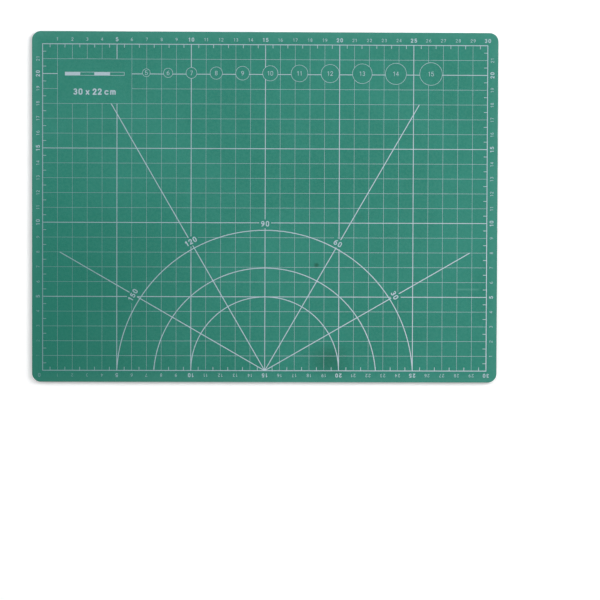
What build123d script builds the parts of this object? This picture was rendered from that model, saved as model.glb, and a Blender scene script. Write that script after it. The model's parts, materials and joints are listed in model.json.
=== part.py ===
from build123d import *

import os
from math import cos, radians, sin, sqrt, tan

os.makedirs("parts", exist_ok=True)

# Reversible self-healing cutting mat.
# Five bonded sheets carry a printed scale on each face: a metric grid with circle
# templates and a protractor on the green face, an inch grid with angle guides on the
# black face. The print is a thin ink film that stands proud of the sheets.
# Origin at the centre of the underside, +X along the mat, +Z up through the green face.
# All lengths are in millimetres.

CM = 10.0
INCH = 25.4

# --- Sheet stack -----------------------------------------------------------------
MAT_LENGTH = 314.4
MAT_WIDTH = 236.4
CORNER_RADIUS = 6.0
CUTTING_SHEET = 0.9
STIFFENER_SHEET = 0.25
CORE_SHEET = 0.7
RIM_ROUNDING = 0.3
INK = 0.03

# --- Pen widths of the print -----------------------------------------------------
FINE_LEVEL_LINE = 0.2
FINE_UPRIGHT_LINE = 0.17
BOLD_LINE = 0.48
FRAME_LINE = 0.52
TICK_LINE = 0.36
RING_LINE = 0.25
GUIDE_LINE = 0.56
INCH_LINE = 0.52
INCH_LEVEL_LINE = 0.44
HALF_TICK_LINE = 0.62
SHORT_TICK_LINE = 0.36
SMALL_RING_LINE = 0.4

# --- Metric scale, in centimetres from the lower left corner of its frame ---------
METRIC_MARGIN = (7.2, 7.8)
METRIC_COLUMNS = 30
METRIC_ROWS = 22
MAJOR_STEP = 5
HALF_CM_TICK = 2.4
FINE_NUMERAL = 2.2
BOLD_NUMERAL = 2.7
NUMERAL_OFFSET = 3.2
NUMERAL_SPREAD = 1.15
ZERO_SHIFT = 2.3
PANEL_LEFT, PANEL_RIGHT = 1, 6
PANEL_BOTTOM, PANEL_TOP = 18, 21
PANEL_TEXT = 4.3
TITLE_DROP = 7.0
SCALE_BAR_RISE = 5.0
SCALE_BAR_HEIGHT = 2.4
SCALE_BAR_BLOCKS = 4
CIRCLE_DIAMETERS = range(5, 16)
FIRST_CIRCLE = 69.7
CIRCLE_ROW = 200.8
CIRCLE_GAP = 9.2
CIRCLE_NUMERAL = 3.0
PROTRACTOR_CENTRE = 15
PROTRACTOR_ARCS = ((5, 5.0), (7.5, 6.95), (10, 9.5))
RAY_TOPS = {30: 8, 60: 18, 120: 18, 150: 8}
ANGLE_NUMERAL = 3.7
ANGLE_SPREAD = 1.07
ANGLE_LABEL_CLEARANCE = 1.1
# How far each angle's figures stand out along its ray, and aside from it
ANGLE_LABEL_PLACES = {
    30: (101.7, 0.5),
    60: (99.3, 0.5),
    90: (99.4, 0.0),
    120: (100.6, -0.3),
    150: (102.7, 0.3),
}

# --- Inch scale, in inches from the lower left corner of its frame ----------------
INCH_MARGIN = (4.8, 3.9)
INCH_COLUMNS = 12
INCH_ROWS = 9
EIGHTH_TICK = 2.0
QUARTER_TICK = 4.7
HALF_TICK = 7.3
INCH_NUMERAL = 5.5
# Middles of the figures. Those in a row stand left of the upright line that they number,
# and those in a column stand below their level line.
ROW_FIGURES = ((-0.18, 0.735), (-0.20, 8.28))
COLUMN_FIGURES = ((0.79, -0.27), (11.39, -0.25))
CORNER_FIGURES = (("12", 11.29, 0.49), ("1", 11.41, 0.75), ("12", 11.28, 8.56), ("9", 11.6, 8.39))
UNIT_MARK = ("inch", 0.48, 0.35)
UNIT_TEXT = 3.2
GUIDE_TEXT = 6.3
GUIDE_CLEARANCE = 0.6
GUIDE_TOP = 8
GUIDE_RIGHT = 11
GUIDE_SPAN_1 = 1.0
GUIDE_SPAN_2 = 2.0
FALL_SPACING = 6.05
SPAN_1_START = 3.78
SPAN_2_START = 6.83
WIDE_ARC = sqrt(2)
RISING_ARC = 0.97
CROSSING_ARC = 0.86
FALLING_ARC = 0.935
DEGREE_RING = 2.0
CORNER_RING = 2.8
CORNER_RING_INSET = 1.45
GUIDE_LABELS = (
    ("60", 2.375, 1.905, -50),
    ("45", 3.47, 1.445, -60),
    ("90", 5.35, 2.765, 0),
    ("45", 7.40, 1.34, 60),
    ("1inch", 4.31, 3.58, -45),
    ("2inch", 7.35, 3.53, 45),
)
DEGREE_RINGS = ((2.64, 1.63), (3.68, 1.17), (5.70, 2.85), (7.48, 1.71))

# Heights of the stack, measured up from the table
BLACK_BOTTOM = INK
LOWER_STIFFENER_BOTTOM = BLACK_BOTTOM + CUTTING_SHEET
CORE_BOTTOM = LOWER_STIFFENER_BOTTOM + STIFFENER_SHEET
UPPER_STIFFENER_BOTTOM = CORE_BOTTOM + CORE_SHEET
GREEN_BOTTOM = UPPER_STIFFENER_BOTTOM + STIFFENER_SHEET
GREEN_TOP = GREEN_BOTTOM + CUTTING_SHEET

# The two printed faces. Each has its origin at the lower left corner of its frame, and
# the black one is turned over like a page, so that it reads upright from below.
metric_face = Plane(
    origin=(METRIC_MARGIN[0] - MAT_LENGTH / 2, METRIC_MARGIN[1] - MAT_WIDTH / 2, GREEN_TOP)
)
inch_face = Plane(
    origin=(MAT_LENGTH / 2 - INCH_MARGIN[0], INCH_MARGIN[1] - MAT_WIDTH / 2, BLACK_BOTTOM),
    x_dir=(-1, 0, 0),
    z_dir=(0, 0, -1),
)

METRIC_LENGTH = METRIC_COLUMNS * CM
METRIC_HEIGHT = METRIC_ROWS * CM
INCH_LENGTH = INCH_COLUMNS * INCH
INCH_HEIGHT = INCH_ROWS * INCH


def save(part, name):
    """Label a finished piece and write it as its own STEP file."""
    part.label = name
    export_step(part, f"parts/{name}.step")


# --- Sheets ----------------------------------------------------------------------
def sheet(name, bottom, thickness, rounded=None):
    """One ply of the mat. `rounded` picks the outer face whose rim is eased."""
    with BuildPart() as ply:
        with BuildSketch(Plane.XY.offset(bottom)):
            RectangleRounded(MAT_LENGTH, MAT_WIDTH, CORNER_RADIUS)
        extrude(amount=thickness)
        if rounded is not None:
            outer_face = ply.faces().sort_by(Axis.Z)[rounded]
            fillet(outer_face.edges(), RIM_ROUNDING)
    save(ply.part, name)


# --- Lettering -------------------------------------------------------------------
# Centre lines of the characters, drawn one unit high and centred on x = 0
CHARACTER_LINES = {
    "0": [
        CenterArc((0, 0.73), 0.27, 0, 180),
        Line((-0.27, 0.73), (-0.27, 0.27)),
        CenterArc((0, 0.27), 0.27, 180, 180),
        Line((0.27, 0.27), (0.27, 0.73)),
    ],
    "1": [Polyline((-0.17, 0.82), (0.06, 1), (0.06, 0))],
    "2": [
        CenterArc((0, 0.73), 0.27, 170, -210),
        Polyline((0.207, 0.556), (-0.27, 0), (0.28, 0)),
    ],
    "3": [
        CenterArc((-0.01, 0.76), 0.24, 150, -240),
        CenterArc((-0.01, 0.26), 0.26, 90, -240),
    ],
    "4": [
        Polyline((0.13, 1), (-0.29, 0.29), (0.29, 0.29)),
        Line((0.13, 0), (0.13, 1)),
    ],
    "5": [
        Polyline((0.23, 1), (-0.19, 1), (-0.226, 0.529)),
        CenterArc((-0.01, 0.31), 0.31, 135, -285),
    ],
    "6": [
        CenterArc((0, 0.28), 0.28, 0, 180),
        CenterArc((0, 0.28), 0.28, 180, 180),
        ThreePointArc((-0.28, 0.28), (-0.17, 0.75), (0.16, 1)),
    ],
    "7": [Polyline((-0.27, 1), (0.28, 1), (-0.08, 0))],
    "8": [
        CenterArc((0, 0.76), 0.24, 0, 180),
        CenterArc((0, 0.76), 0.24, 180, 180),
        CenterArc((0, 0.26), 0.26, 0, 180),
        CenterArc((0, 0.26), 0.26, 180, 180),
    ],
    "9": [
        CenterArc((0, 0.72), 0.28, 0, 180),
        CenterArc((0, 0.72), 0.28, 180, 180),
        ThreePointArc((0.28, 0.72), (0.17, 0.25), (-0.16, 0)),
    ],
    "c": [CenterArc((0, 0.34), 0.34, 50, 260)],
    "h": [
        Line((-0.24, 0), (-0.24, 1)),
        CenterArc((0, 0.44), 0.24, 0, 180),
        Line((0.24, 0.44), (0.24, 0)),
    ],
    "i": [Line((0, 0), (0, 0.66)), Line((0, 0.94), (0, 0.96))],
    "m": [
        Line((-0.42, 0), (-0.42, 0.66)),
        CenterArc((-0.21, 0.46), 0.21, 0, 180),
        Line((0, 0.46), (0, 0)),
        CenterArc((0.21, 0.46), 0.21, 0, 180),
        Line((0.42, 0.46), (0.42, 0)),
    ],
    "n": [
        Line((-0.24, 0), (-0.24, 0.66)),
        CenterArc((0, 0.44), 0.24, 0, 180),
        Line((0.24, 0.44), (0.24, 0)),
    ],
    "x": [Line((-0.24, 0), (0.24, 0.66)), Line((-0.24, 0.66), (0.24, 0))],
}
CHARACTER_PITCH = {"1": 0.66, "i": 0.36, "m": 1.14, " ": 0.30}
USUAL_PITCH = 0.80
UNIT_PEN = 0.09
CIRCLE_PEN = 0.11
LIGHT_PEN = 0.12
LABEL_PEN = 0.13
ANGLE_PEN = 0.23
BOLD_PEN = 0.23
PANEL_PEN = 0.25


def pitch(character):
    """Room that a character takes along its line, for text one unit high."""
    return CHARACTER_PITCH.get(character, USUAL_PITCH)


def text_length(text, height):
    return height * sum(pitch(character) for character in text)


def character_face(character, pen):
    """One character as a face, drawn by a round pen along its centre lines."""
    with BuildSketch() as face:
        for line in CHARACTER_LINES[character]:
            SlotArc(line, pen)
    return face.sketch


def label_place(label):
    """Where a (text, x, y, angle) label stands, turned about its own middle."""
    return Location((label[1], label[2], 0), (0, 0, label[3]))


def lettering(labels, height, pen, spread=1.0):
    """A printed pattern of (text, x, y, angle) labels, each centred on its x, y.

    `spread` opens up the spacing of the characters.
    """
    body = height / (1 + pen)
    spots = {}
    for label in labels:
        cursor = -spread * text_length(label[0], height) / 2
        for character in label[0]:
            step = spread * height * pitch(character)
            offset = Location((cursor + step / 2, -body / 2, 0))
            spots.setdefault(character, []).append(label_place(label) * offset)
            cursor += step
    spots.pop(" ", None)
    faces = {
        character: scale(character_face(character, pen), by=body, mode=Mode.PRIVATE)
        for character in spots
    }
    with BuildSketch() as pattern:
        for character, places in spots.items():
            with Locations(*places):
                add(faces[character])
    return pattern.sketch


def clear_labels(labels, height, clearance):
    """Blank the current pattern around each label, so that it stays legible."""
    for label in labels:
        with Locations(label_place(label)):
            Rectangle(
                text_length(label[0], height) + 2 * clearance,
                height + 2 * clearance,
                mode=Mode.SUBTRACT,
            )


# --- Lines -----------------------------------------------------------------------
def bar(start, end, width):
    """Add a straight printed line with square ends to the current pattern."""
    with BuildLine() as path:
        Line(start, end)
    trace(path.line, line_width=width)


def arc_line(centre, radius, start_angle, sweep, width):
    """Add a printed arc with square ends to the current pattern."""
    with BuildLine() as path:
        CenterArc(centre, radius, start_angle, sweep)
    trace(path.line, line_width=width)


def ring(centre, diameter, width):
    """Add a printed circle, `diameter` across the middle of its line."""
    with Locations(centre):
        Circle((diameter + width) / 2)
        Circle((diameter - width) / 2, mode=Mode.SUBTRACT)


def upright_lines(positions, height, width):
    with Locations(*[(x, height / 2) for x in positions]):
        Rectangle(width, height)


def level_lines(positions, length, width):
    with Locations(*[(length / 2, y) for y in positions]):
        Rectangle(length, width)


def edge_ticks(positions_along, positions_up, length, height, size, width):
    """Ticks that stand inward from all four sides of a frame."""
    for y in (size / 2, height - size / 2):
        with Locations(*[(x, y) for x in positions_along]):
            Rectangle(width, size)
    for x in (size / 2, length - size / 2):
        with Locations(*[(x, y) for y in positions_up]):
            Rectangle(size, width)


def cut_away(*patterns):
    """Take other patterns out of the current one, so that no ink lies on ink."""
    for pattern in patterns:
        add(pattern, mode=Mode.SUBTRACT)


def print_film(name, face, pattern):
    """Lay a pattern on a face of the mat as a film of ink."""
    with BuildPart() as film:
        with BuildSketch(face):
            add(pattern)
        extrude(amount=INK)
    save(film.part, name)


# --- Metric patterns -------------------------------------------------------------
def every_fifth(wanted, numbers):
    """Every fifth number if `wanted`, and otherwise the numbers between them."""
    return [n for n in numbers if (n % MAJOR_STEP == 0) == wanted]


def side_numerals(place, numbers):
    """Numbers along one side of the metric frame; place(n) gives (x, y, angle)."""
    light = [(str(n), *place(n)) for n in every_fifth(False, numbers)]
    bold = [(str(n), *place(n)) for n in every_fifth(True, numbers)]
    with BuildSketch() as pattern:
        add(lettering(light, FINE_NUMERAL, LIGHT_PEN, NUMERAL_SPREAD))
        add(lettering(bold, BOLD_NUMERAL, BOLD_PEN, NUMERAL_SPREAD))
    return pattern.sketch


def top_place(n):
    return n * CM, METRIC_HEIGHT + NUMERAL_OFFSET, 0


def bottom_place(n):
    """The zero stands a little outside its corner."""
    x = n * CM if n else -ZERO_SHIFT
    return x, -NUMERAL_OFFSET, 180


def left_place(n):
    return -NUMERAL_OFFSET, n * CM, 90


def right_place(n):
    return METRIC_LENGTH + NUMERAL_OFFSET, n * CM, 90


with BuildSketch() as metric_border:
    with Locations((METRIC_LENGTH / 2, METRIC_HEIGHT / 2)):
        Rectangle(METRIC_LENGTH + FRAME_LINE, METRIC_HEIGHT + FRAME_LINE)
        Rectangle(METRIC_LENGTH - FRAME_LINE, METRIC_HEIGHT - FRAME_LINE, mode=Mode.SUBTRACT)
    edge_ticks(
        [(n + 0.5) * CM for n in range(METRIC_COLUMNS)],
        [(n + 0.5) * CM for n in range(METRIC_ROWS)],
        METRIC_LENGTH,
        METRIC_HEIGHT,
        HALF_CM_TICK,
        TICK_LINE,
    )

circles = []
circle_x = FIRST_CIRCLE
for diameter in CIRCLE_DIAMETERS:
    circles.append((diameter, circle_x))
    next_diameter = diameter + 1
    circle_x += (diameter + next_diameter) / 2 + CIRCLE_GAP
circle_labels = [(str(diameter), x, CIRCLE_ROW, 0) for diameter, x in circles]

# Each template circle has its stated diameter inside the line
with BuildSketch() as circle_discs:
    for diameter, x in circles:
        with Locations((x, CIRCLE_ROW)):
            Circle(diameter / 2 + RING_LINE)

with BuildSketch() as circle_rings:
    for diameter, x in circles:
        ring((x, CIRCLE_ROW), diameter + RING_LINE, RING_LINE)

with BuildSketch() as protractor_rays:
    for angle, top in RAY_TOPS.items():
        foot = (PROTRACTOR_CENTRE * CM, 0)
        tip = ((PROTRACTOR_CENTRE + top / tan(radians(angle))) * CM, top * CM)
        bar(foot, tip, GUIDE_LINE)


def angle_label(angle, reach, aside):
    """A protractor figure, just outside the outer arc and square to its ray."""
    along = (cos(radians(angle)), sin(radians(angle)))
    x = PROTRACTOR_CENTRE * CM + reach * along[0] - aside * along[1]
    y = reach * along[1] + aside * along[0]
    return str(angle), x, y, angle - 90


angle_labels = [angle_label(angle, *place) for angle, place in ANGLE_LABEL_PLACES.items()]

with BuildSketch() as protractor_arcs:
    for half_width, rise in PROTRACTOR_ARCS:
        middle = PROTRACTOR_CENTRE * CM
        left_end = (middle - half_width * CM, 0)
        right_end = (middle + half_width * CM, 0)
        with BuildLine() as path:
            ThreePointArc(left_end, (middle, rise * CM), right_end)
        trace(path.line, line_width=GUIDE_LINE)
    cut_away(metric_border.sketch, protractor_rays.sketch)

with BuildSketch() as clear_rays:
    add(protractor_rays.sketch)
    clear_labels(angle_labels, ANGLE_NUMERAL, ANGLE_LABEL_CLEARANCE)
    cut_away(metric_border.sketch)

panel_centre = ((PANEL_LEFT + PANEL_RIGHT) / 2 * CM, (PANEL_BOTTOM + PANEL_TOP) / 2 * CM)
panel_length = (PANEL_RIGHT - PANEL_LEFT) * CM
panel_height = (PANEL_TOP - PANEL_BOTTOM) * CM


def clear_metric_marks():
    """Blank the title panel and take the other metric marks out of a grid."""
    with Locations(panel_centre):
        Rectangle(
            panel_length - FINE_UPRIGHT_LINE,
            panel_height - FINE_LEVEL_LINE,
            mode=Mode.SUBTRACT,
        )
    clear_labels(angle_labels, ANGLE_NUMERAL, ANGLE_LABEL_CLEARANCE)
    cut_away(
        metric_border.sketch,
        protractor_rays.sketch,
        protractor_arcs.sketch,
        circle_discs.sketch,
    )


with BuildSketch() as metric_major_grid:
    major_columns = every_fifth(True, range(1, METRIC_COLUMNS))
    major_rows = every_fifth(True, range(1, METRIC_ROWS))
    upright_lines([n * CM for n in major_columns], METRIC_HEIGHT, BOLD_LINE)
    level_lines([n * CM for n in major_rows], METRIC_LENGTH, BOLD_LINE)
    clear_metric_marks()

with BuildSketch() as metric_minor_grid:
    minor_columns = every_fifth(False, range(1, METRIC_COLUMNS))
    minor_rows = every_fifth(False, range(1, METRIC_ROWS))
    upright_lines([n * CM for n in minor_columns], METRIC_HEIGHT, FINE_UPRIGHT_LINE)
    level_lines([n * CM for n in minor_rows], METRIC_LENGTH, FINE_LEVEL_LINE)
    clear_metric_marks()
    cut_away(metric_major_grid.sketch)

with BuildSketch() as title_panel:
    for n in range(SCALE_BAR_BLOCKS):
        block_x = panel_centre[0] + (n - (SCALE_BAR_BLOCKS - 1) / 2) * CM
        with Locations((block_x, panel_centre[1] + SCALE_BAR_RISE)):
            Rectangle(CM, SCALE_BAR_HEIGHT)
            if n % 2:
                Rectangle(CM - BOLD_LINE, SCALE_BAR_HEIGHT - BOLD_LINE, mode=Mode.SUBTRACT)
    title = f"{METRIC_COLUMNS} x {METRIC_ROWS} cm"
    title_label = (title, panel_centre[0], panel_centre[1] - TITLE_DROP, 0)
    add(lettering([title_label], PANEL_TEXT, PANEL_PEN))


# --- Inch patterns ---------------------------------------------------------------
def inches(*values):
    return tuple(value * INCH for value in values)


def inch_label(text, x, y, angle=0):
    return text, x * INCH, y * INCH, angle


def eighths(count, wanted):
    """Positions in millimetres of the chosen eighths of an inch along a side."""
    return [(n + part / 8) * INCH for n in range(count) for part in wanted]


def inch_ticks(parts_of_inch, size, width):
    with BuildSketch() as pattern:
        edge_ticks(
            eighths(INCH_COLUMNS, parts_of_inch),
            eighths(INCH_ROWS, parts_of_inch),
            INCH_LENGTH,
            INCH_HEIGHT,
            size,
            width,
        )
        cut_away(inch_frame.sketch, corner_diagonals.sketch)
    return pattern.sketch


# The frame is four bars that meet end to side. It is what the mat rests on.
INCH_FRAME_BARS = {
    "near": ((INCH_LENGTH / 2, 0), INCH_LENGTH + INCH_LINE, INCH_LINE),
    "far": ((INCH_LENGTH / 2, INCH_HEIGHT), INCH_LENGTH + INCH_LINE, INCH_LINE),
    "left": ((0, INCH_HEIGHT / 2), INCH_LINE, INCH_HEIGHT - INCH_LINE),
    "right": ((INCH_LENGTH, INCH_HEIGHT / 2), INCH_LINE, INCH_HEIGHT - INCH_LINE),
}


def frame_bar(side):
    centre, length, height = INCH_FRAME_BARS[side]
    with BuildSketch() as pattern:
        with Locations(centre):
            Rectangle(length, height)
    return pattern.sketch


with BuildSketch() as inch_frame:
    for side in INCH_FRAME_BARS:
        add(frame_bar(side))

inch_numeral_labels = [inch_label(*figure) for figure in CORNER_FIGURES]
for aside, y in ROW_FIGURES:
    inch_numeral_labels += [inch_label(str(n), n + aside, y) for n in range(1, INCH_COLUMNS)]
for x, drop in COLUMN_FIGURES:
    inch_numeral_labels += [inch_label(str(n), x, n + drop) for n in range(2, INCH_ROWS)]
inch_numerals = lettering(inch_numeral_labels, INCH_NUMERAL, LIGHT_PEN)
inch_unit = lettering([inch_label(*UNIT_MARK)], UNIT_TEXT, UNIT_PEN)

# Angle guides. Two rising lines at 45 degrees stand one inch apart and two falling ones
# two inches apart, measured squarely. A line at 60 degrees shares the first foot.
FOOT = 1
second_foot = FOOT + GUIDE_SPAN_1 * sqrt(2)
fall_foot = second_foot + FALL_SPACING
far_fall_start = fall_foot + FOOT + GUIDE_SPAN_2 * sqrt(2) - GUIDE_RIGHT
climb = GUIDE_TOP - FOOT
meeting = ((second_foot + fall_foot) / 2, FOOT + FALL_SPACING / 2)

with BuildSketch() as angle_guides:
    bar(inches(FOOT, FOOT), inches(FOOT + climb / tan(radians(60)), GUIDE_TOP), GUIDE_LINE)
    bar(inches(FOOT, FOOT), inches(FOOT + climb, GUIDE_TOP), GUIDE_LINE)
    bar(inches(second_foot, FOOT), inches(second_foot + climb, GUIDE_TOP), GUIDE_LINE)
    bar(inches(fall_foot, FOOT), inches(fall_foot - climb, GUIDE_TOP), GUIDE_LINE)
    far_climb = GUIDE_TOP - far_fall_start
    bar(
        inches(GUIDE_RIGHT, far_fall_start),
        inches(GUIDE_RIGHT - far_climb, GUIDE_TOP),
        GUIDE_LINE,
    )

with BuildSketch() as span_lines:
    across = GUIDE_SPAN_1 / sqrt(2)
    x = y = SPAN_1_START
    bar(inches(x, y), inches(x + across, y - across), GUIDE_LINE)
    across = GUIDE_SPAN_2 / sqrt(2)
    x = SPAN_2_START
    y = fall_foot + FOOT - x
    bar(inches(x, y), inches(x + across, y + across), GUIDE_LINE)
    cut_away(angle_guides.sketch)

with BuildSketch() as corner_diagonals:
    for edge, inner in ((0, FOOT), (INCH_ROWS, GUIDE_TOP)):
        inset = CORNER_RING_INSET if edge == 0 else -CORNER_RING_INSET
        ring((INCH_LENGTH - CORNER_RING_INSET, edge * INCH + inset), CORNER_RING, SMALL_RING_LINE)
        bar(inches(GUIDE_RIGHT, inner), inches(INCH_COLUMNS, edge), GUIDE_LINE)
    cut_away(inch_frame.sketch, inch_numerals)

guide_labels = [inch_label(*label) for label in GUIDE_LABELS]
guide_lettering = lettering(guide_labels, GUIDE_TEXT, LABEL_PEN)

with BuildSketch() as degree_rings:
    for x, y in DEGREE_RINGS:
        ring(inches(x, y), DEGREE_RING, SMALL_RING_LINE)

with BuildSketch() as angle_arcs:
    arc_line(inches(FOOT, FOOT), WIDE_ARC * INCH, 0, 60, GUIDE_LINE)
    arc_line(inches(second_foot, FOOT), RISING_ARC * INCH, 0, 45, GUIDE_LINE)
    arc_line(inches(*meeting), CROSSING_ARC * INCH, 225, 90, GUIDE_LINE)
    arc_line(inches(fall_foot, FOOT), FALLING_ARC * INCH, 135, 45, GUIDE_LINE)
    cut_away(angle_guides.sketch)

with BuildSketch() as inch_grid:
    upright_lines([n * INCH for n in range(1, INCH_COLUMNS)], INCH_HEIGHT, INCH_LINE)
    level_lines([n * INCH for n in range(1, INCH_ROWS)], INCH_LENGTH, INCH_LEVEL_LINE)
    clear_labels(guide_labels, GUIDE_TEXT, GUIDE_CLEARANCE)
    cut_away(
        inch_frame.sketch,
        angle_guides.sketch,
        span_lines.sketch,
        angle_arcs.sketch,
        corner_diagonals.sketch,
    )

# --- The mat, from the table up ----------------------------------------------------
for side in INCH_FRAME_BARS:
    print_film(f"inch_frame_{side}", inch_face, frame_bar(side))
print_film("inch_grid", inch_face, inch_grid.sketch)
print_film("half_inch_ticks", inch_face, inch_ticks([4], HALF_TICK, HALF_TICK_LINE))
quarter_ticks = inch_ticks([2, 6], QUARTER_TICK, SHORT_TICK_LINE)
eighth_ticks = inch_ticks([1, 3, 5, 7], EIGHTH_TICK, SHORT_TICK_LINE)
print_film("quarter_inch_ticks", inch_face, quarter_ticks)
print_film("eighth_inch_ticks", inch_face, eighth_ticks)
print_film("inch_numerals", inch_face, inch_numerals)
print_film("inch_unit_mark", inch_face, inch_unit)
print_film("angle_guide_lines", inch_face, angle_guides.sketch)
print_film("angle_guide_arcs", inch_face, angle_arcs.sketch)
print_film("angle_guide_lettering", inch_face, guide_lettering)
print_film("degree_marks", inch_face, degree_rings.sketch)
print_film("span_gauge_lines", inch_face, span_lines.sketch)
print_film("corner_diagonals", inch_face, corner_diagonals.sketch)

sheet("black_cutting_sheet", BLACK_BOTTOM, CUTTING_SHEET, rounded=0)
sheet("lower_stiffener_sheet", LOWER_STIFFENER_BOTTOM, STIFFENER_SHEET)
sheet("core_sheet", CORE_BOTTOM, CORE_SHEET)
sheet("upper_stiffener_sheet", UPPER_STIFFENER_BOTTOM, STIFFENER_SHEET)
sheet("green_cutting_sheet", GREEN_BOTTOM, CUTTING_SHEET, rounded=-1)

print_film("metric_border", metric_face, metric_border.sketch)
print_film("metric_major_grid", metric_face, metric_major_grid.sketch)
print_film("metric_minor_grid", metric_face, metric_minor_grid.sketch)
top_numerals = side_numerals(top_place, range(1, METRIC_COLUMNS + 1))
bottom_numerals = side_numerals(bottom_place, range(METRIC_COLUMNS + 1))
left_numerals = side_numerals(left_place, range(1, METRIC_ROWS))
right_numerals = side_numerals(right_place, range(1, METRIC_ROWS))
print_film("metric_top_numerals", metric_face, top_numerals)
print_film("metric_bottom_numerals", metric_face, bottom_numerals)
print_film("metric_left_numerals", metric_face, left_numerals)
print_film("metric_right_numerals", metric_face, right_numerals)
print_film("circle_rings", metric_face, circle_rings.sketch)
circle_numerals = lettering(circle_labels, CIRCLE_NUMERAL, CIRCLE_PEN)
print_film("circle_numerals", metric_face, circle_numerals)
print_film("protractor_rays", metric_face, clear_rays.sketch)
print_film("protractor_arcs", metric_face, protractor_arcs.sketch)
protractor_numerals = lettering(angle_labels, ANGLE_NUMERAL, ANGLE_PEN, ANGLE_SPREAD)
print_film("protractor_numerals", metric_face, protractor_numerals)
print_film("title_panel", metric_face, title_panel.sketch)
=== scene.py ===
import json
from math import radians, tan

import bpy
from mathutils import Euler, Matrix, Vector


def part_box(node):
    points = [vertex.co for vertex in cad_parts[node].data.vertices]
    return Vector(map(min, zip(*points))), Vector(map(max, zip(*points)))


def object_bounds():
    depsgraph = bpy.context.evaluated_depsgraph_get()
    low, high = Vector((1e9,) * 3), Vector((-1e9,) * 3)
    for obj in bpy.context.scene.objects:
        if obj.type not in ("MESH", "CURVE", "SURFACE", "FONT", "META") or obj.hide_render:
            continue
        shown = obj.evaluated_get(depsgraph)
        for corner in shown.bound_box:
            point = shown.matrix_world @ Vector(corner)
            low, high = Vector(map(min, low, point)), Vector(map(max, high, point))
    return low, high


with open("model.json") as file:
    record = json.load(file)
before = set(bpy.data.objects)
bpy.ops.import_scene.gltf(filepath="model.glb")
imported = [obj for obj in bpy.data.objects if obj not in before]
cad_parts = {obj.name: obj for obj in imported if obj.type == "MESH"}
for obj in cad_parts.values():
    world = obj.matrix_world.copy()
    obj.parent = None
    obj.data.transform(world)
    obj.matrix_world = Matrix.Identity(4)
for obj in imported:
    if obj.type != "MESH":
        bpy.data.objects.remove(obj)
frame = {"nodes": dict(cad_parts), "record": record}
cad_low, cad_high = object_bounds()

MM = 0.001

# The mat, as the frame gives it
centre = (cad_low + cad_high) / 2
mat_length = cad_high.x - cad_low.x
mat_width = cad_high.y - cad_low.y
mat_top = cad_high.z
# A centimetre as the metric grid shows it
GRID_CENTIMETRES = 30
grid_low, grid_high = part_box("metric_border")
CM = (grid_high.x - grid_low.x) / GRID_CENTIMETRES


# --- Camera --------------------------------------------------------------------------
# It stands nearly over the middle of the mat and looks almost straight down at VIEW_CENTRE,
# a place beside the middle that is given from it, so that the mat lies up and to the left in
# the view. VIEW_WIDTH is how much of the mat's own plane the view takes in.
CAMERA_HEIGHT = 1.9
VIEW_WIDTH = 405.4 * MM
VIEW_CENTRE = Vector((23.5 * MM, -62.6 * MM))
LEAN_ALONG = radians(1.25)
LEAN_ACROSS = radians(2.2)
CAMERA_ROLL = radians(0.2)
SENSOR_WIDTH = 36.0  # in millimetres, as Blender wants it
CLIP_RANGE = (0.05, 50)


def add_camera():
    data = bpy.data.cameras.new("Camera")
    data.sensor_width = SENSOR_WIDTH
    data.lens = SENSOR_WIDTH * CAMERA_HEIGHT / VIEW_WIDTH
    data.clip_start, data.clip_end = CLIP_RANGE
    data.dof.use_dof = False
    camera = bpy.data.objects.new("Camera", data)
    camera.location = (
        centre.x + VIEW_CENTRE.x - CAMERA_HEIGHT * tan(LEAN_ALONG),
        centre.y + VIEW_CENTRE.y + CAMERA_HEIGHT * tan(LEAN_ACROSS),
        mat_top + CAMERA_HEIGHT,
    )
    camera.rotation_euler = Euler((-LEAN_ACROSS, -LEAN_ALONG, CAMERA_ROLL))
    bpy.context.scene.collection.objects.link(camera)
    bpy.context.scene.camera = camera


add_camera()


# --- Node helpers --------------------------------------------------------------------
# The Mix node has sockets of the same names for each type of value. These are its colours.
MIX_COLOUR_A, MIX_COLOUR_B, MIX_COLOUR_RESULT = 6, 7, 2

# A mark, as shares of its radius: how ragged it is, where it starts to fade and where it ends
MARK_RAGGEDNESS = 0.8
MARK_CORE = 0.3
MARK_END = 1.4


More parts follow.
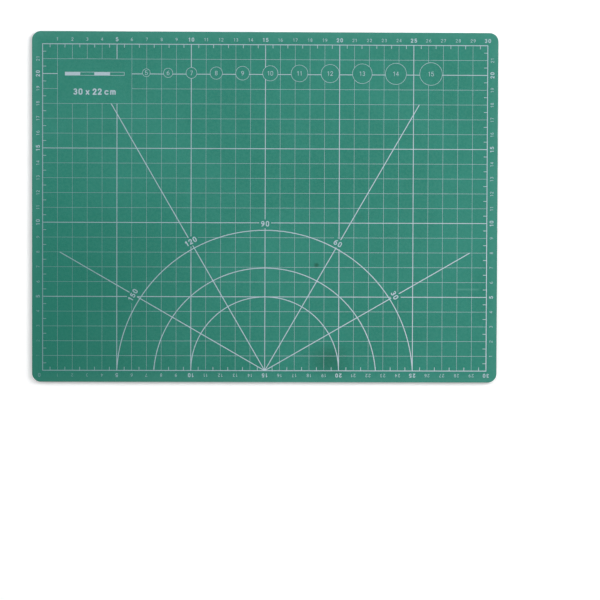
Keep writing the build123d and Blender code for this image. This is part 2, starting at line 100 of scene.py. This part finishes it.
class Nodes:
    """A material's node tree, with short calls that add and join its nodes."""

    def __init__(self, name):
        self.material = bpy.data.materials.new(name)
        self.material.use_nodes = True
        self.tree = self.material.node_tree
        self.tree.nodes.clear()
        self.shader = self.tree.nodes.new("ShaderNodeBsdfPrincipled")
        output = self.tree.nodes.new("ShaderNodeOutputMaterial")
        self.tree.links.new(self.shader.outputs["BSDF"], output.inputs["Surface"])
        self.position = self.tree.nodes.new("ShaderNodeTexCoord").outputs["Object"]

    def put(self, value, socket):
        """Links another node's output to a socket, or sets the socket to a plain value."""
        if isinstance(value, bpy.types.NodeSocket):
            self.tree.links.new(value, socket)
        else:
            socket.default_value = value

    def noise(self, size, detail=2, rough=0.5):
        """A smooth random value about 0.5, with features about `size` metres across."""
        node = self.tree.nodes.new("ShaderNodeTexNoise")
        self.put(self.position, node.inputs["Vector"])
        node.inputs["Scale"].default_value = 1 / size
        node.inputs["Detail"].default_value = detail
        node.inputs["Roughness"].default_value = rough
        return node.outputs["Fac"]

    def cells(self, size):
        """Rounded cells about `size` metres across: 0 in the middle of each, more toward its rim."""
        node = self.tree.nodes.new("ShaderNodeTexVoronoi")
        self.put(self.position, node.inputs["Vector"])
        node.inputs["Scale"].default_value = 1 / size
        return node.outputs["Distance"]

    def math(self, operation, a, b=0.0, clamp=False):
        node = self.tree.nodes.new("ShaderNodeMath")
        node.operation = operation
        node.use_clamp = clamp
        self.put(a, node.inputs[0])
        self.put(b, node.inputs[1])
        return node.outputs["Value"]

    def remap(self, value, low, high, to_low=0.0, to_high=1.0):
        """Eases from `to_low` to `to_high` as the value goes from `low` to `high`."""
        node = self.tree.nodes.new("ShaderNodeMapRange")
        node.interpolation_type = "SMOOTHSTEP"
        self.put(value, node.inputs["Value"])
        node.inputs["From Min"].default_value = low
        node.inputs["From Max"].default_value = high
        node.inputs["To Min"].default_value = to_low
        node.inputs["To Max"].default_value = to_high
        return node.outputs["Result"]

    def mix(self, share, a, b):
        """Colour `a` with a share of colour `b` in it."""
        node = self.tree.nodes.new("ShaderNodeMix")
        node.data_type = "RGBA"
        self.put(share, node.inputs["Factor"])
        self.put(a, node.inputs[MIX_COLOUR_A])
        self.put(b, node.inputs[MIX_COLOUR_B])
        return node.outputs[MIX_COLOUR_RESULT]

    def away_from(self, place):
        """How far a point is from a place, in metres."""
        node = self.tree.nodes.new("ShaderNodeVectorMath")
        node.operation = "DISTANCE"
        self.put(self.position, node.inputs[0])
        node.inputs[1].default_value = place
        return node.outputs["Value"]

    def offsets_from(self, x, y):
        """How far a point is from `x` along X and from `y` along Y, both as plain distances."""
        split = self.tree.nodes.new("ShaderNodeSeparateXYZ")
        self.put(self.position, split.inputs["Vector"])
        along = self.math("ABSOLUTE", self.math("SUBTRACT", split.outputs["X"], x))
        across = self.math("ABSOLUTE", self.math("SUBTRACT", split.outputs["Y"], y))
        return along, across

    def from_edge(self):
        """How far a point lies inside the nearest side of the mat, in metres."""
        along, across = self.offsets_from(centre.x, centre.y)
        to_end = self.math("SUBTRACT", mat_length / 2, along)
        to_side = self.math("SUBTRACT", mat_width / 2, across)
        return self.math("MINIMUM", to_end, to_side)

    def mark(self, along, up, radius, strength):
        """`strength` at a place on the metric grid, in its centimetres, and softly less around it."""
        away = self.away_from((grid_low.x + along * CM, grid_low.y + up * CM, mat_top))
        raggedness = radius * MARK_RAGGEDNESS
        uneven = self.math("MULTIPLY", self.noise(raggedness, detail=3), raggedness)
        reach = self.math("ADD", away, uneven)
        return self.remap(reach, radius * MARK_CORE, radius * MARK_END, strength, 0.0)

    def streak(self, along, up, length, width, strength):
        """A faint level streak about a place on the metric grid, in its centimetres."""
        aside, above = self.offsets_from(grid_low.x + along * CM, grid_low.y + up * CM)
        inside = self.remap(aside, length * 0.3, length / 2, 1.0, 0.0)
        thin = self.remap(above, 0.0, width / 2, strength, 0.0)
        return self.math("MULTIPLY", inside, thin)

    def bump(self, height, depth):
        """Raises the surface by `depth` metres where `height` is 1."""
        node = self.tree.nodes.new("ShaderNodeBump")
        node.inputs["Strength"].default_value = 1.0
        node.inputs["Distance"].default_value = depth
        self.put(height, node.inputs["Height"])
        self.put(node.outputs["Normal"], self.shader.inputs["Normal"])


def colour(red, green, blue):
    """A linear colour from one given in the usual 0 to 255 display values."""

    def linear(value):
        value /= 255
        return value / 12.92 if value <= 0.04045 else ((value + 0.055) / 1.055) ** 2.4

    return linear(red), linear(green), linear(blue), 1.0


# --- Marks, painted shade and wear -----------------------------------------------------
# Marks and painted shade on the metric face: centimetres along and up its grid, radius in
# metres, strength and colour
# The dark colour serves both the small smudges and the broad painted shade; the deep green is painted
# shade only.
GRIME_AND_SHADE = colour(14, 72, 50)
SHADE_GREEN = colour(0, 122, 104)
MARKS_AND_SHADE = (
    (18.46, 7.17, 2.6 * MM, 0.75, GRIME_AND_SHADE),
    (19.4, 0.9, 18 * MM, 0.40, GRIME_AND_SHADE),
    (21.4, 10.4, 3.5 * MM, 0.15, GRIME_AND_SHADE),
    # Painted shade: these last two darken the face, and deepen its green, toward the corner where the
    # scale starts.
    (0.0, 0.0, 165 * MM, 0.34, GRIME_AND_SHADE),
    (-2.0, 4.0, 170 * MM, 0.45, SHADE_GREEN),
)
# Pale scuffs: centimetres along and up, length and width in metres, strength
SCUFFS = ((28.7, 5.55, 19 * MM, 2.4 * MM, 0.65),)

# Wear of the metric print, told as the marks are. It is rubbed BARE toward the end where the
# scale starts, the fine lines more than the rest, and it is FRESH toward the far end.
BARE = colour(46, 120, 117)
FRESH = colour(216, 222, 233)
FIGURE_WEAR = (
    (0.0, 5.0, 125 * MM, 0.58, BARE),
    (2.0, -1.0, 65 * MM, 0.50, BARE),
    (-0.3, 1.2, 45 * MM, 0.75, BARE),
    (22.0, -1.0, 110 * MM, 0.50, FRESH),
)
BORDER_WEAR = (
    (0.0, 3.0, 170 * MM, 0.60, BARE),
    (-3.0, 17.0, 180 * MM, 0.32, BARE),
    (27.0, 0.0, 200 * MM, 0.60, FRESH),
)
BOLD_LINE_WEAR = (
    (-5.0, 6.0, 230 * MM, 0.55, BARE),
    (27.0, 2.0, 235 * MM, 0.55, FRESH),
)
FINE_LINE_WEAR = (
    (-5.0, 6.5, 280 * MM, 0.76, BARE),
    (25.0, 5.0, 160 * MM, 0.25, FRESH),
)


# --- Materials -----------------------------------------------------------------------
# The vinyl's fine grain: how wide its cells are, and how deep
GRAIN = 0.55 * MM
GRAIN_DEPTH = 0.11 * MM
# The face is paler along its sides. That starts to fade 1 mm in and is gone 9 mm in.
RIM_BAND = (1 * MM, 9 * MM)
RIM_PALENESS = 0.26


def add_marks(n, body, marks):
    for *place_and_size, tint in marks:
        body = n.mix(n.mark(*place_and_size), body, tint)
    return body


def vinyl(name, deep, pale, rim, marks=(), scuffs=()):
    """Soft matte vinyl: fine grain, cloudy colour, rubbed spots, marks, painted shade, scuffs and a
    paler rim.
    """
    n = Nodes(name)
    clouds = n.noise(90 * MM, detail=3)
    blotches = n.noise(14 * MM, detail=4, rough=0.6)
    mottle = n.noise(1.7 * MM, detail=3, rough=0.6)
    speck = n.noise(0.5 * MM)
    rubbing = n.noise(2.5 * MM, detail=5, rough=0.7)
    tone = n.math("ADD", n.math("MULTIPLY", clouds, 0.6), n.math("MULTIPLY", blotches, 0.4))
    body = n.mix(n.remap(tone, 0.3, 0.7), deep, pale)
    body = n.mix(n.remap(speck, 0.35, 0.65, to_high=0.16), body, pale)
    body = n.mix(n.remap(mottle, 0.38, 0.62, to_high=0.14), body, rim)
    body = n.mix(n.remap(rubbing, 0.62, 0.78, to_high=0.18), body, rim)
    body = n.mix(n.remap(n.from_edge(), *RIM_BAND, RIM_PALENESS, 0.0), body, rim)
    # Adds the given marks; those of the green face include painted shade.
    body = add_marks(n, body, marks)
    for scuff in scuffs:
        body = n.mix(n.streak(*scuff), body, rim)
    n.put(body, n.shader.inputs["Base Color"])
    rough = n.math("ADD", n.remap(blotches, 0.3, 0.7, 0.50, 0.60), n.math("MULTIPLY", speck, 0.1))
    n.put(rough, n.shader.inputs["Roughness"])
    n.shader.inputs["Specular IOR Level"].default_value = 0.3
    grain = n.math("ADD", n.cells(GRAIN), n.math("MULTIPLY", n.noise(GRAIN / 2), 0.6))
    n.bump(grain, GRAIN_DEPTH)
    return n.material


def ink(name, base, worn, wear=()):
    """Screen-printed ink: even and slightly chalky, thinner in small spots and soft patches."""
    n = Nodes(name)
    thin = n.remap(n.noise(0.7 * MM, detail=3, rough=0.6), 0.45, 0.72, to_high=0.30)
    patchy = n.remap(n.noise(11 * MM, detail=3), 0.35, 0.7, to_high=0.12)
    body = n.mix(n.math("ADD", thin, patchy, clamp=True), base, worn)
    n.put(add_marks(n, body, wear), n.shader.inputs["Base Color"])
    n.put(n.remap(thin, 0.0, 0.30, 0.42, 0.58), n.shader.inputs["Roughness"])
    n.bump(n.noise(0.3 * MM), GRAIN_DEPTH / 3)
    return n.material


def cut_edge(name, base, dust):
    """A cut plastic ply: finely mottled, with a little dust in it."""
    n = Nodes(name)
    mottle = n.noise(0.9 * MM, detail=4, rough=0.7)
    speck = n.noise(0.12 * MM, detail=1)
    n.put(n.mix(n.remap(mottle, 0.35, 0.7, to_high=0.5), base, dust), n.shader.inputs["Base Color"])
    n.put(n.remap(speck, 0.3, 0.7, 0.55, 0.75), n.shader.inputs["Roughness"])
    n.bump(n.math("ADD", mottle, n.math("MULTIPLY", speck, 0.4)), GRAIN_DEPTH)
    return n.material


METRIC_INK = (colour(174, 192, 203), colour(140, 172, 178))
slot_materials = {
    "green_vinyl": vinyl(
        "green_vinyl",
        deep=colour(28, 122, 104),
        pale=colour(40, 131, 114),
        rim=colour(80, 150, 136),
        # Its marks include painted shade toward the corner where the scale starts.
        marks=MARKS_AND_SHADE,
        scuffs=SCUFFS,
    ),
    "black_vinyl": vinyl(
        "black_vinyl",
        deep=colour(15, 14, 20),
        pale=colour(24, 23, 29),
        rim=colour(50, 51, 50),
    ),
    "core_vinyl": cut_edge("core_vinyl", base=colour(78, 92, 88), dust=colour(120, 130, 126)),
    "stiff_plastic": cut_edge("stiff_plastic", base=colour(150, 158, 154), dust=colour(186, 190, 186)),
    "metric_ink": ink("metric_ink", *METRIC_INK, FIGURE_WEAR),
    "inch_ink": ink("inch_ink", base=colour(192, 198, 208), worn=colour(148, 154, 164)),
}
# The lines of the metric face wear in other ways than its figures
border_ink = ink("metric_border_ink", *METRIC_INK, BORDER_WEAR)
bold_line_ink = ink("metric_bold_line_ink", *METRIC_INK, BOLD_LINE_WEAR)
fine_line_ink = ink("metric_fine_line_ink", *METRIC_INK, FINE_LINE_WEAR)
line_inks = {
    "metric_border": border_ink,
    "metric_major_grid": bold_line_ink,
    "protractor_rays": bold_line_ink,
    "protractor_arcs": bold_line_ink,
    "metric_minor_grid": fine_line_ink,
}

for part in frame["record"]["subparts"]:
    mesh = frame["nodes"][part["node"]].data
    mesh.materials.clear()
    mesh.materials.append(line_inks.get(part["node"], slot_materials[part["material_slot"]]))


# --- Floor, lights and sky -------------------------------------------------------------
FLOOR_REACH = 6.0
# The floor glows a little, and more where the lights don't reach, so that it fades into the
# sky. The glow rises between two distances from the mat, in metres.
FLOOR_GLOW = 0.22
FAR_FLOOR_GLOW = 0.6
GLOW_RISES_BETWEEN = (0.8, 3.0)

# The sky's strength at the horizon and overhead. It changes between two heights in the sky,
# where 0 is the horizon and 1 is straight up.
HORIZON_STRENGTH = 0.9
ZENITH_STRENGTH = 0.2
SKY_CHANGES_BETWEEN = (0.05, 0.6)

# Soft lights: name, place, size in metres and power in watts
LIGHTS = (
    ("key_light", (0.95, 0.55, 1.05), 0.9, 17),
    ("fill_light", (-1.2, 0.9, 1.5), 1.4, 14),
    ("front_light", (0.1, -1.5, 0.35), 0.8, 5),
)


def floor_material():
    n = Nodes("studio_floor")
    body = n.mix(n.noise(400 * MM), colour(250, 250, 250), colour(244, 245, 246))
    n.put(body, n.shader.inputs["Base Color"])
    n.shader.inputs["Roughness"].default_value = 0.9
    n.shader.inputs["Emission Color"].default_value = (1.0, 1.0, 1.0, 1.0)
    glow = n.remap(n.away_from(centre), *GLOW_RISES_BETWEEN, FLOOR_GLOW, FAR_FLOOR_GLOW)
    n.put(glow, n.shader.inputs["Emission Strength"])
    return n.material


def add_floor():
    mesh = bpy.data.meshes.new("studio_floor")
    sides = ((-1, -1), (1, -1), (1, 1), (-1, 1))
    corners = [(x * FLOOR_REACH, y * FLOOR_REACH, cad_low.z) for x, y in sides]
    mesh.from_pydata(corners, [], [(0, 1, 2, 3)])
    mesh.materials.append(floor_material())
    floor = bpy.data.objects.new("studio_floor", mesh)
    bpy.context.scene.collection.objects.link(floor)


def add_sky():
    """A pale studio sky, dimmer overhead so that the flat face doesn't mirror it."""
    world = bpy.data.worlds.new("studio_sky")
    bpy.context.scene.world = world
    world.use_nodes = True
    tree = world.node_tree
    direction = tree.nodes.new("ShaderNodeTexCoord").outputs["Generated"]
    split = tree.nodes.new("ShaderNodeSeparateXYZ")
    climb = tree.nodes.new("ShaderNodeMapRange")
    lowest, highest = SKY_CHANGES_BETWEEN
    climb.inputs["From Min"].default_value = lowest
    climb.inputs["From Max"].default_value = highest
    climb.inputs["To Min"].default_value = HORIZON_STRENGTH
    climb.inputs["To Max"].default_value = ZENITH_STRENGTH
    background = tree.nodes["Background"]
    background.inputs["Color"].default_value = (0.98, 0.99, 1.0, 1.0)
    tree.links.new(direction, split.inputs["Vector"])
    tree.links.new(split.outputs["Z"], climb.inputs["Value"])
    tree.links.new(climb.outputs["Result"], background.inputs["Strength"])


def add_soft_light(name, place, size, watts):
    """A square light that faces the middle of the mat."""
    data = bpy.data.lights.new(name, "AREA")
    data.shape = "SQUARE"
    data.size = size
    data.energy = watts
    light = bpy.data.objects.new(name, data)
    light.location = place
    aim = Vector((centre.x, centre.y, mat_top)) - light.location
    light.rotation_euler = aim.to_track_quat("-Z", "Y").to_euler()
    bpy.context.scene.collection.objects.link(light)


add_floor()
add_sky()
for light in LIGHTS:
    add_soft_light(*light)

bpy.context.scene.view_settings.view_transform = "Standard"
